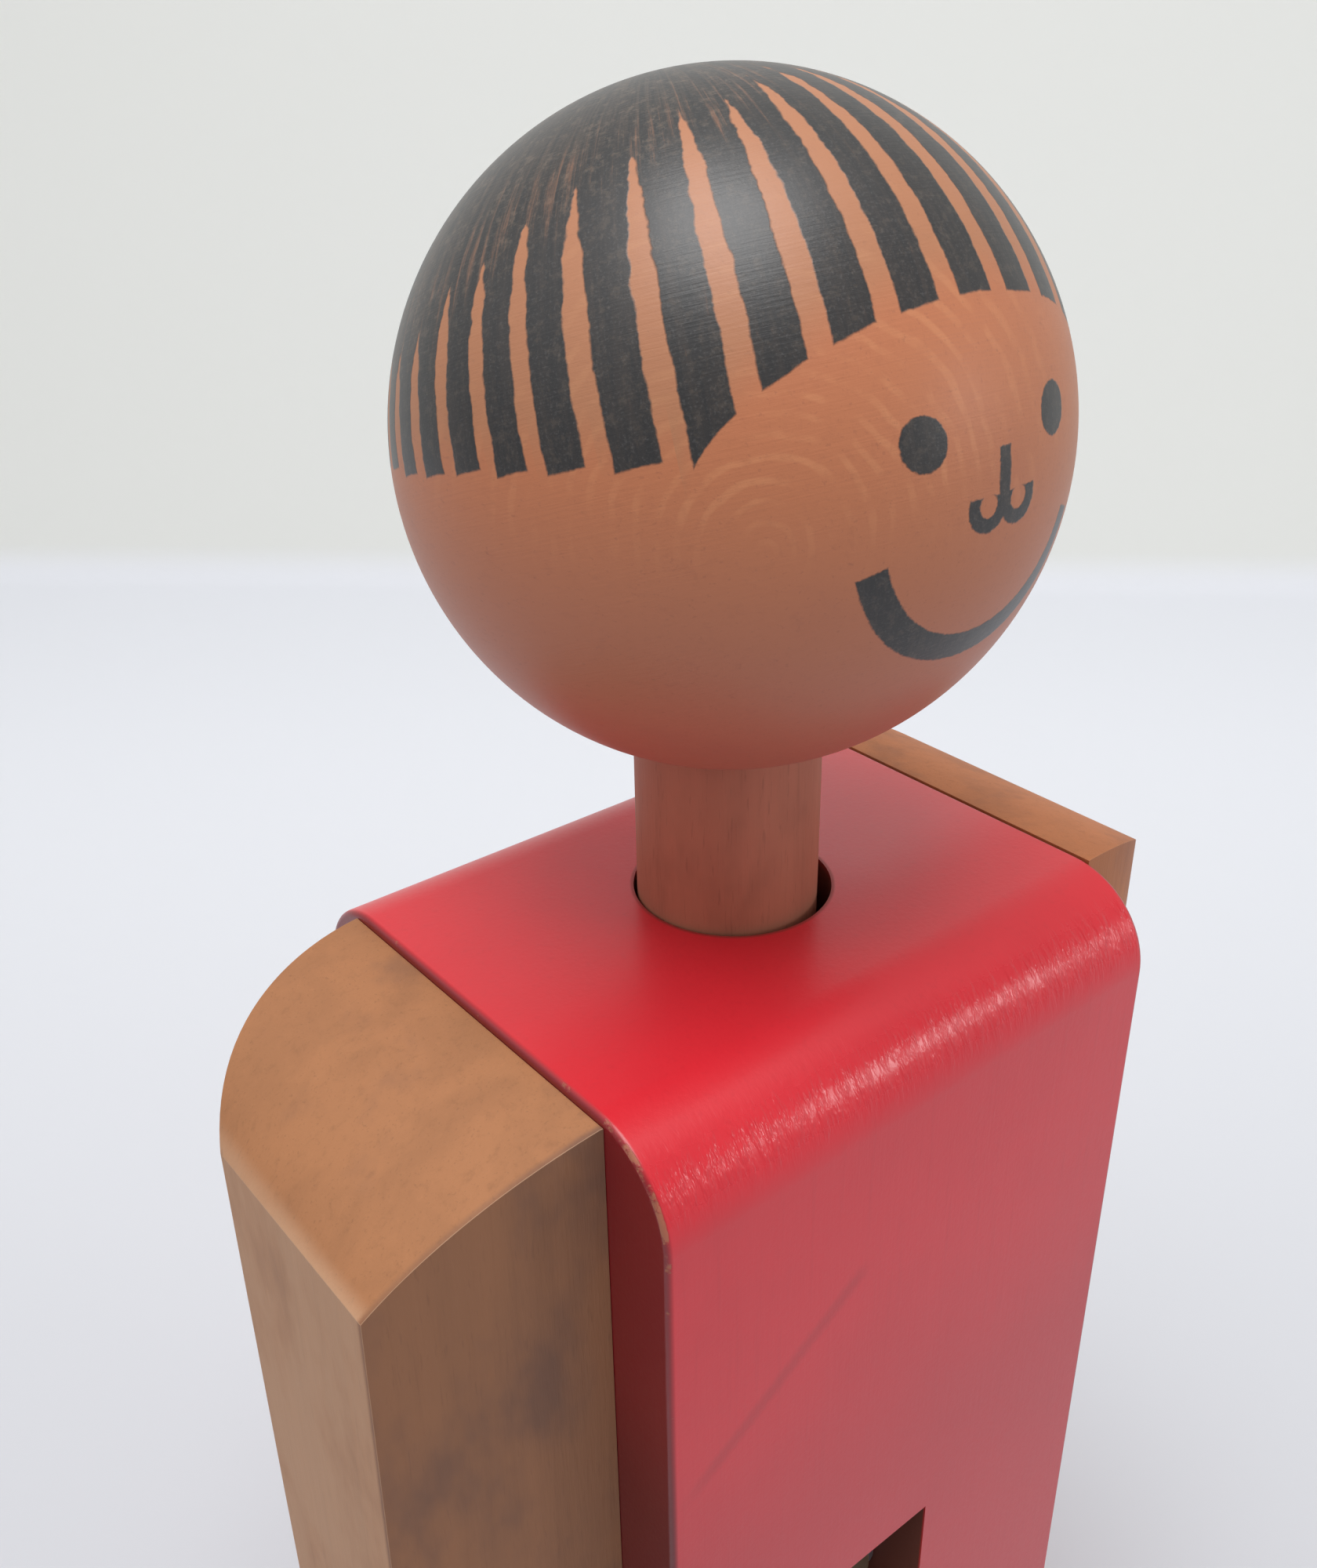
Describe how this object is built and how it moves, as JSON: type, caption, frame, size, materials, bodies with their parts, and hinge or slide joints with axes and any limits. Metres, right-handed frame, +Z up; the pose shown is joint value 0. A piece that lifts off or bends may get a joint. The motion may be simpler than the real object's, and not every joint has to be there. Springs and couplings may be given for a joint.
{
  "type": "wooden toy figure",
  "caption": "Wooden toy footballer with a lacquered block body, side arms and a painted ball head on a sprung neck; pressing the head swings a pivoted leg out of its slot to kick.",
  "frame": {"origin": "on the floor that the figure stands on, at the middle of its box, midway between the back of the head and the tip of the boot", "axes": "+Z up, the figure's front towards -Y, +X to the right of someone who faces it"},
  "size_m": [0.0924, 0.0628, 0.1943],
  "materials": {
    "red_lacquer": "satin red lacquer over wood, worn on the edges",
    "head_wood": "turned and waxed, with painted hair and face",
    "neck_wood": "bare dowel, grain upright",
    "arm_wood": "oiled, with worn edges",
    "leg_wood": "oiled, grain upright",
    "pale_wood": "bare dowel",
    "boot_paint": "satin black paint over wood",
    "steel": "bright steel"
  },
  "bodies": {
    "body": {"body_block": "red_lacquer", "right_arm": "arm_wood", "left_arm": "arm_wood", "right_arm_dowel_upper": "pale_wood", "right_arm_dowel_lower": "pale_wood", "left_arm_dowel_upper": "pale_wood", "left_arm_dowel_lower": "pale_wood", "seat_washer": "steel", "return_spring": "steel", "stop_pin_front": "steel", "stop_pin_back": "steel", "hip_pin": "steel", "hip_washer_right": "steel", "hip_washer_left": "steel"},
    "washer": {"thrust_washer": "steel"},
    "head": {"head_ball": "head_wood", "neck_plunger": "neck_wood"},
    "leg": {"kicking_leg": "leg_wood", "kicking_boot": "boot_paint", "boot_dowel": "pale_wood"}
  },
  "joints": [
    {"name": "head_press", "type": "slide", "parent": "body", "child": "washer", "axis": [0, 0, -1], "range_m": [0, 0.012], "stiffness_N_per_m": 300, "springref_m": -0.01, "deforming": ["return_spring"]},
    {"name": "head_turn", "type": "hinge", "parent": "washer", "child": "head", "pos_m": [0, 0.00641, 0.13], "axis": [0, 0, 1], "continuous": true},
    {"name": "leg_kick", "type": "hinge", "parent": "body", "child": "leg", "pos_m": [-0.0025, -0.00691, 0.058], "axis": [-1, 0, 0], "range_deg": [0, 50.8]}
  ],
  "couplings": [
    {"joint": "leg_kick", "follows": "head_press", "rad_per_m": 73.82}
  ]
}
